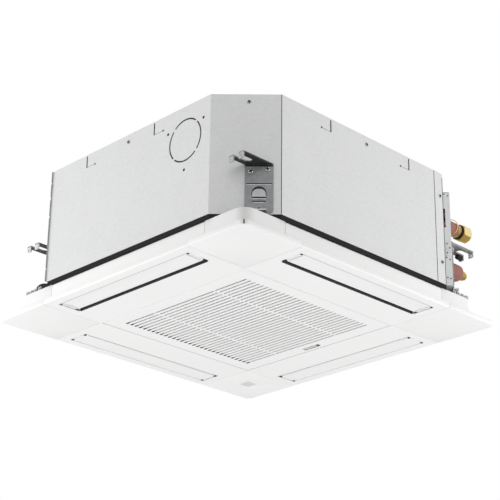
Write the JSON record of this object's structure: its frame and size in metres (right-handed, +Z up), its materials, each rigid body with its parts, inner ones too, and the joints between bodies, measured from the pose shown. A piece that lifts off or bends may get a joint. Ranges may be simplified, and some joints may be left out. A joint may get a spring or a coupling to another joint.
{
  "type": "ceiling cassette air conditioner",
  "caption": "Ceiling cassette air conditioner: galvanised casing on hanger brackets above a square white panel with a swinging intake grille, air vanes and pipe stubs.",
  "frame": {"origin": "centre of the undersides of the four hanger arms, where the nuts on the hanging rods bear", "axes": "+Z up, out of the ceiling; +X and -Y are the sides that face the viewer; the pipes leave at the +X +Y corner"},
  "size_m": [0.62, 0.646, 0.272],
  "materials": {
    "galvanised": "galvanised sheet with a faint spangle",
    "bracket": "thicker galvanised strip, duller",
    "white": "fine matt moulding",
    "vane": "smooth satin moulding",
    "foam": "fine-beaded expanded foam",
    "gasket": "closed-cell foam strip",
    "aluminium": "finned, satin",
    "copper": "drawn copper",
    "brass": "bright turned brass",
    "sleeve": "pink-brown insulation, matt",
    "motor": "pressed case, satin",
    "fan": "dark moulding",
    "rubber": "black, matt",
    "mesh": "dark moulding",
    "board": "green laminate",
    "window": "light grey, half gloss",
    "steel": "plain steel"
  },
  "bodies": {
    "unit": {"casing_shell": "galvanised", "piping_corner_sheet": "galvanised", "piping_cover": "galvanised", "top_plate": "galvanised", "hanger_bracket_front_right": "bracket", "hanger_bracket_front_left": "bracket", "hanger_bracket_back_left": "bracket", "hanger_bracket_back_right": "bracket", "foam_lining": "foam", "drain_pan": "foam", "heat_exchanger": "aluminium", "tube_plate_right": "copper", "tube_plate_back": "copper", "fan_motor": "motor", "motor_bracket": "steel", "bell_mouth": "white", "drain_pump": "white", "drain_spigot": "rubber", "drain_hose": "rubber", "float_switch_stem": "white", "gas_pipe": "copper", "gas_pipe_sleeve": "sleeve", "gas_pipe_union": "brass", "gas_flare_nut": "brass", "liquid_pipe": "copper", "liquid_pipe_sleeve": "sleeve", "liquid_flare_union": "brass", "control_box": "galvanised", "control_box_cover": "galvanised", "circuit_board": "board", "terminal_block": "white", "foam_gasket": "gasket", "panel_frame": "white", "corner_cover_back_right": "white", "corner_cover_back_left": "white", "corner_cover_front_left": "white", "corner_cover_front_right": "white", "receiver_window": "window", "vane_motor_front": "motor", "vane_motor_right": "motor", "vane_motor_back": "motor", "vane_motor_left": "motor"},
    "fan": {"turbo_fan": "fan", "fan_shaft": "steel", "fan_nut": "steel"},
    "vane_front": {"air_vane_front": "vane"},
    "vane_right": {"air_vane_right": "vane"},
    "vane_back": {"air_vane_back": "vane"},
    "vane_left": {"air_vane_left": "vane"},
    "grille": {"intake_grille": "white", "air_filter": "mesh"},
    "latch": {"grille_latch": "white"},
    "float": {"float_switch_float": "rubber"}
  },
  "joints": [
    {"name": "fan_spin", "type": "hinge", "parent": "unit", "child": "fan", "pos_m": [0, 0, 0], "axis": [0, 0, 1], "continuous": true},
    {"name": "vane_front_swing", "type": "hinge", "parent": "unit", "child": "vane_front", "pos_m": [0, -0.255, -0.133], "axis": [1, 0, 0], "range_deg": [0, 65]},
    {"name": "vane_right_swing", "type": "hinge", "parent": "unit", "child": "vane_right", "pos_m": [0.255, 0, -0.133], "axis": [0, 1, 0], "range_deg": [0, 65]},
    {"name": "vane_back_swing", "type": "hinge", "parent": "unit", "child": "vane_back", "pos_m": [0, 0.255, -0.133], "axis": [-1, 0, 0], "range_deg": [0, 65]},
    {"name": "vane_left_swing", "type": "hinge", "parent": "unit", "child": "vane_left", "pos_m": [-0.255, 0, -0.133], "axis": [0, -1, 0], "range_deg": [0, 65]},
    {"name": "grille_swing", "type": "hinge", "parent": "unit", "child": "grille", "pos_m": [0, -0.1761, -0.1375], "axis": [-1, 0, 0], "range_deg": [0, 90]},
    {"name": "latch_slide", "type": "slide", "parent": "grille", "child": "latch", "axis": [0, -1, 0], "range_m": [0, 0.0045], "stiffness_N_per_m": 400, "springref_m": -0.001},
    {"name": "float_slide", "type": "slide", "parent": "unit", "child": "float", "axis": [0, 0, 1], "range_m": [0, 0.008]}
  ]
}
